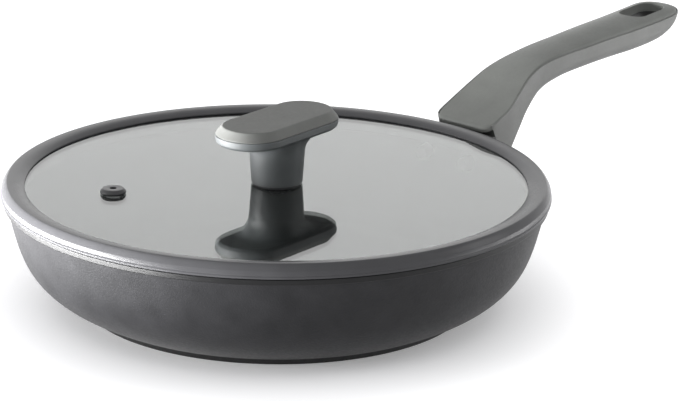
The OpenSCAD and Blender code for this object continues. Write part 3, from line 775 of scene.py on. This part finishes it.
# Clear soda-lime glass: sharp reflections of the studio over a faint green-grey body
WIPE = 30
clear_glass = new_material("clear_tempered_glass")
place = add(clear_glass, "ShaderNodeTexCoord", {}).outputs["Object"]
wipes = add(clear_glass, "ShaderNodeTexNoise", {"Scale": 1 / (WIPE * MM), "Detail": 2},
            [("Vector", place)])
smear = add(clear_glass, "ShaderNodeMapRange", {"To Min": 0.0, "To Max": 0.02},
            [("Value", wipes.outputs["Fac"])])
path = add(clear_glass, "ShaderNodeLightPath", {})
pane = add(clear_glass, "ShaderNodeBsdfPrincipled", {
    "Base Color": linear("#c6cbc9"), "IOR": 1.5, "Transmission Weight": 1.0},
    [("Roughness", smear.outputs["Result"])])
shadow_pane = add(clear_glass, "ShaderNodeBsdfTransparent", {"Color": linear("#c6cbc9")})
surface = add(clear_glass, "ShaderNodeMixShader", {}, [
    (0, path.outputs["Is Shadow Ray"]), (1, pane.outputs["BSDF"]),
    (2, shadow_pane.outputs["BSDF"])])
add(clear_glass, "ShaderNodeOutputMaterial", {}, [("Surface", surface.outputs["Shader"])])
evened(glass)
dress(glass, clear_glass)
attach(glass, "lid")
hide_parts("glass_disc")


# STEAM VENT
# A grommet of dark silicone snaps into the small hole in the glass. Its bore lets the steam out.
VENT_TOP = LIP_Z + 2.9
VENT_R = 7
VENT_BORE_R = 1.7
VENT_NECK_R = 4.4
VENT_FLANGE_R = 6
VENT_FLANGE_Z = GLASS_Z - GLASS_GAP
VENT_UNDER_Z = VENT_FLANGE_Z - 1.8
VENT_SIDES = 64

# under flange, neck in the glass, then the domed head down to the bore
vent_outline = rounded([
    (VENT_BORE_R, VENT_UNDER_Z, 0.3), (VENT_FLANGE_R, VENT_UNDER_Z, 0.5),
    (VENT_FLANGE_R, VENT_FLANGE_Z), (VENT_NECK_R, VENT_FLANGE_Z), (VENT_NECK_R, LIP_Z),
    (VENT_R - 0.6, LIP_Z, 0.3), (VENT_R, LIP_Z + 1.1, 1.0), (VENT_R - 1.4, VENT_TOP - 0.1, 1.1),
    (VENT_R - 3.0, VENT_TOP, 1.5), (VENT_BORE_R, VENT_TOP - 0.1, 0.4)])
vent = add_piece("steam_grommet", *lathe_shape(vent_outline, VENT_SIDES, vent_place))

# Dark silicone: soft gloss that shows the lamps as pale smears
dark_silicone = finished("dark_silicone", ("#333335", "#3a3a3c"), 6, (0.32, 0.42), 2, 1.0, 0.02,
                         {"IOR": 1.41})
evened(vent)
dress(vent, dark_silicone)
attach(vent, "lid")
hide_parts("vent_grommet")
for name in ("knob_gasket", "under_gasket"):
    dress(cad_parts[name], dark_silicone)


# KNOB
# The knob's stem and band are moulded in grey nylon, and a soft-touch cap is plugged into the
# band. A brass insert in the stem takes the screw that comes up through the glass.
KNOB_TURN = math.radians(5.8)
KNOB_HALF = 20.8
KNOB_R = 19.5
KNOB_Z = LIP_Z + 0.8
KNOB_UNDER_Z = KNOB_Z + 25.5
KNOB_UNDER_R = KNOB_R - 1.9
PART_Z = KNOB_UNDER_Z + 5
CAP_TOP = PART_Z + 4.7
CAP_TOP_R = 15.7
CAP_EDGE_R = 1.3
STEM_R = 13.6
STEM_EDGE = 0.4
STEM_TOP_R = 14.7
FLARE_H = 9
FLARE_REACH = 8
FLARE_STEPS = 12
PARTING = 0.05
PART_IN_R = KNOB_R - 1


def turned(half, r, z):
    """One level of the knob: an oval turned a little from the handle's line."""
    c, s = math.cos(KNOB_TURN), math.sin(KNOB_TURN)
    return [(x * c - y * s, x * s + y * c, z) for x, y in oval(half, r)]


def eased(levels, steps=6):
    """Levels of (half, r, z), with a round in place of each level that gives a radius."""
    smooth = []
    for i, level in enumerate(levels):
        if len(level) < 4:
            smooth.append(level)
            continue
        here = Vector(level[:3])
        back = (Vector(levels[i - 1][:3]) - here).normalized()
        ahead = (Vector(levels[i + 1][:3]) - here).normalized()
        angle = back.angle(ahead) / 2
        centre = here + (back + ahead).normalized() * level[3] / math.sin(angle)
        first = here + back * level[3] / math.tan(angle) - centre
        last = here + ahead * level[3] / math.tan(angle) - centre
        for k in range(steps + 1):
            smooth.append(tuple(centre + first.lerp(last, k / steps).normalized() * level[3]))
    return smooth


flare = []
for k in range(FLARE_STEPS + 1):
    a = math.pi / 2 * k / FLARE_STEPS
    flare.append((FLARE_REACH * (1 - math.cos(a)),
                  STEM_TOP_R + (KNOB_UNDER_R - STEM_TOP_R) * (1 - math.cos(a)),
                  KNOB_UNDER_Z - FLARE_H * (1 - math.sin(a))))
# levels of stem and band, then of the cap, as (half, r, z), with a radius where a level is rounded
body_levels = [(0, STEM_R - STEM_EDGE, KNOB_Z), (0, STEM_R, KNOB_Z + STEM_EDGE)] + flare + [
    (KNOB_HALF, KNOB_UNDER_R - 0.2, KNOB_UNDER_Z, 0.5),
    (KNOB_HALF, KNOB_R - 0.4, KNOB_UNDER_Z + 1.5, 1.2),
    (KNOB_HALF, KNOB_R, PART_Z - PARTING, 0.2), (KNOB_HALF, PART_IN_R, PART_Z - PARTING)]
cap_levels = [
    (KNOB_HALF, PART_IN_R, PART_Z + PARTING), (KNOB_HALF, KNOB_R, PART_Z + PARTING, 0.3),
    (KNOB_HALF, CAP_TOP_R, CAP_TOP, CAP_EDGE_R), (KNOB_HALF, CAP_TOP_R - 3, CAP_TOP)]
knob_body = add_piece("knob_stem_and_band",
                      *stacked([turned(*level) for level in eased(body_levels)]))
knob_cap = add_piece("knob_soft_cap", *stacked([turned(*level) for level in eased(cap_levels)]))

# Moulded nylon of the knob: cooler, darker and a little glossier than the handle's shell
knob_nylon = finished("satin_knob_nylon", ("#4c4f50", "#525556"), 12, (0.42, 0.5), 2, 0.8, 0.015,
                      {"IOR": 1.45})
# Soft-touch skin of the cap: warm grey and nearly matt
cap_skin = finished("soft_touch_cap", ("#5c5d5b", "#626361"), 15, (0.6, 0.7), 2, 0.8, 0.015,
                    {"IOR": 1.32, "Sheen Weight": 0.04, "Sheen Roughness": 0.4})
# Turned brass: warm yellow metal with fine tool marks
turned_brass = finished("turned_brass", ("#c49d55", "#cda75f"), 5, (0.25, 0.4), 1.5,
                        0.5, 0.01, {"Metallic": 1.0})
for piece, node, material in ((knob_body, "knob_body", knob_nylon),
                              (knob_cap, "knob_cap", cap_skin)):
    evened(piece)
    dress(piece, material)
    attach(piece, "lid")
    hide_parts(node)
dress(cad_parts["knob_insert"], turned_brass)
for name in ("knob_washer", "knob_screw"):
    dress(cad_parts[name], screw_steel)


# STUDIO
# A white table under a soft sky that is brighter overhead. Low strips and cards on the table
# light the wall from the left, weaker ones from the right, and a pale screen stands behind.

# distances and sizes in the studio are in metres, but the radii of the glow are in millimetres
TABLE_HALF = 6.0
TABLE_Z = -0.0002
NEAR_GLOW = 0.22
FAR_GLOW = 0.44
GLOW_FROM_R = 115
GLOW_FULL_R = 165
HORIZON_FILL = 0.50
HORIZON_TOP = 0.1
ZENITH_FILL = 0.90
ZENITH_FOOT = 0.7
CAMERA_AZIMUTH = -45.5
CAMERA_ELEVATION = 19.41
CAMERA_DISTANCE = 1.6039
AIM_RIGHT = 1.20
AIM_UP = 1.83
CAMERA_ROLL = 0.46
PHOTO_W = 679
FOCAL_PIXELS = 3000

table = add_piece("table", [(x * TABLE_HALF, y * TABLE_HALF, TABLE_Z) for x, y in
                            ((-1, -1), (1, -1), (1, 1), (-1, 1))], [(0, 1, 2, 3)])
# White matt table: reads as pure white away from the pan and keeps the soft shadow round it. Its
# glow is weaker near the pan, which paints a darker ring of shade round it
white_table = new_material("white_table")
path = add(white_table, "ShaderNodeLightPath", {})
seen = add(white_table, "ShaderNodeMath", {"operation": "MAXIMUM"}, [
    (0, path.outputs["Is Camera Ray"]), (1, path.outputs["Is Glossy Ray"])])
seen = add(white_table, "ShaderNodeMath", {"operation": "MAXIMUM"}, [
    (0, seen.outputs[0]), (1, path.outputs["Is Transmission Ray"])])
place = add(white_table, "ShaderNodeTexCoord", {}).outputs["Object"]
reach = add(white_table, "ShaderNodeVectorMath", {"operation": "LENGTH"}, [(0, place)])
# the glow rises from near the pan to far from it: painted shade close to the pan, over its cast
# shadow
glow_here = add(white_table, "ShaderNodeMapRange", {
    "From Min": GLOW_FROM_R * MM, "From Max": GLOW_FULL_R * MM, "To Min": NEAR_GLOW,
    "To Max": FAR_GLOW}, [("Value", reach.outputs["Value"])])
glow_level = add(white_table, "ShaderNodeMath", {"operation": "MULTIPLY"},
                 [(0, seen.outputs[0]), (1, glow_here.outputs["Result"])])
matt = add(white_table, "ShaderNodeBsdfDiffuse", {"Color": linear("#f2f2f4")})
glow = add(white_table, "ShaderNodeEmission", {"Color": linear("#ffffff")},
           [("Strength", glow_level.outputs[0])])
surface = add(white_table, "ShaderNodeAddShader", {}, [
    (0, matt.outputs["BSDF"]), (1, glow.outputs["Emission"])])
add(white_table, "ShaderNodeOutputMaterial", {}, [("Surface", surface.outputs["Shader"])])
dress(table, white_table)

world = bpy.data.worlds.new("studio")
bpy.context.scene.world = world
world.use_nodes = True
world.node_tree.nodes.clear()
path = add(world, "ShaderNodeLightPath", {})
seen = add(world, "ShaderNodeMath", {"operation": "MAXIMUM"}, [
    (0, path.outputs["Is Camera Ray"]), (1, path.outputs["Is Glossy Ray"])])
seen = add(world, "ShaderNodeMath", {"operation": "MAXIMUM"}, [
    (0, seen.outputs[0]), (1, path.outputs["Is Transmission Ray"])])
heading = add(world, "ShaderNodeTexCoord", {}).outputs["Generated"]
height = add(world, "ShaderNodeSeparateXYZ", {}, [("Vector", heading)])
fill = add(world, "ShaderNodeMapRange", {
    "From Min": HORIZON_TOP, "From Max": ZENITH_FOOT, "To Min": HORIZON_FILL,
    "To Max": ZENITH_FILL}, [("Value", height.outputs["Z"])])
level = add(world, "ShaderNodeMapRange", {"To Max": 1.0},
            [("Value", seen.outputs[0]), ("To Min", fill.outputs["Result"])])
sky = add(world, "ShaderNodeBackground", {"Color": linear("#ffffff")},
          [("Strength", level.outputs["Result"])])
add(world, "ShaderNodeOutputWorld", {}, [("Surface", sky.outputs["Background"])])


def toward(azimuth, elevation, distance):
    """Place this far from the pan; azimuth turns from the camera's side, to its right."""
    turn, tilt = math.radians(CAMERA_AZIMUTH + azimuth), math.radians(elevation)
    return distance * Vector((math.sin(turn) * math.cos(tilt), -math.cos(turn) * math.cos(tilt),
                              math.sin(tilt)))


def lamp(name, azimuth, elevation, distance, size, radiance):
    """Soft rectangular lamp that faces the pan; a radiance of 1 is as bright as a white surface."""
    light = bpy.data.lights.new(name, "AREA")
    light.shape = "RECTANGLE"
    light.size, light.size_y = size
    light.energy = radiance * math.pi * size[0] * size[1]
    holder = bpy.data.objects.new(name, light)
    bpy.context.scene.collection.objects.link(holder)
    holder.location = toward(azimuth, elevation, distance)
    holder.rotation_euler = holder.location.to_track_quat("Z", "Y").to_euler()
    holder.visible_camera = False
    return holder


lamp("left_softbox", -80, 4, 1.2, (0.5, 0.16), 58)
lamp("left_rear", -95, 4, 1.2, (0.5, 0.16), 34)
lamp("right_softbox", 90, 25, 1.4, (0.6, 0.5), 2)
lamp("back_screen", 180, 20, 2.2, (2.6, 1.1), 0.65)
# bright cards lie face up just above the table, beside the picture, and light the wall from below
CARD_ELEVATION = 0.2
for name, azimuth, distance, size, radiance in (
        ("left_card", -65, 0.52, 0.4, 66), ("left_rear_card", -90, 0.52, 0.4, 30),
        ("left_far_card", -80, 0.8, 0.7, 80), ("right_card", 90, 0.75, 0.6, 5.5)):
    card = lamp(name, azimuth, CARD_ELEVATION, distance, (size, size), radiance)
    card.rotation_euler = (math.pi, 0, math.radians(CAMERA_AZIMUTH + azimuth))

camera_data = bpy.data.cameras.new("camera")
camera_data.sensor_width = 36
camera_data.lens = FOCAL_PIXELS * camera_data.sensor_width / PHOTO_W
camera_data.clip_start = 0.05
camera = bpy.data.objects.new("camera", camera_data)
bpy.context.scene.collection.objects.link(camera)
camera.matrix_world = (
    Matrix.Translation(toward(0, CAMERA_ELEVATION, CAMERA_DISTANCE))
    @ Matrix.Rotation(math.radians(CAMERA_AZIMUTH), 4, "Z")
    @ Matrix.Rotation(math.radians(90 - CAMERA_ELEVATION), 4, "X")
    @ Matrix.Rotation(math.radians(-AIM_RIGHT), 4, "Y")
    @ Matrix.Rotation(math.radians(AIM_UP), 4, "X")
    @ Matrix.Rotation(math.radians(CAMERA_ROLL), 4, "Z"))
bpy.context.scene.camera = camera
bpy.context.scene.view_settings.view_transform = "Standard"
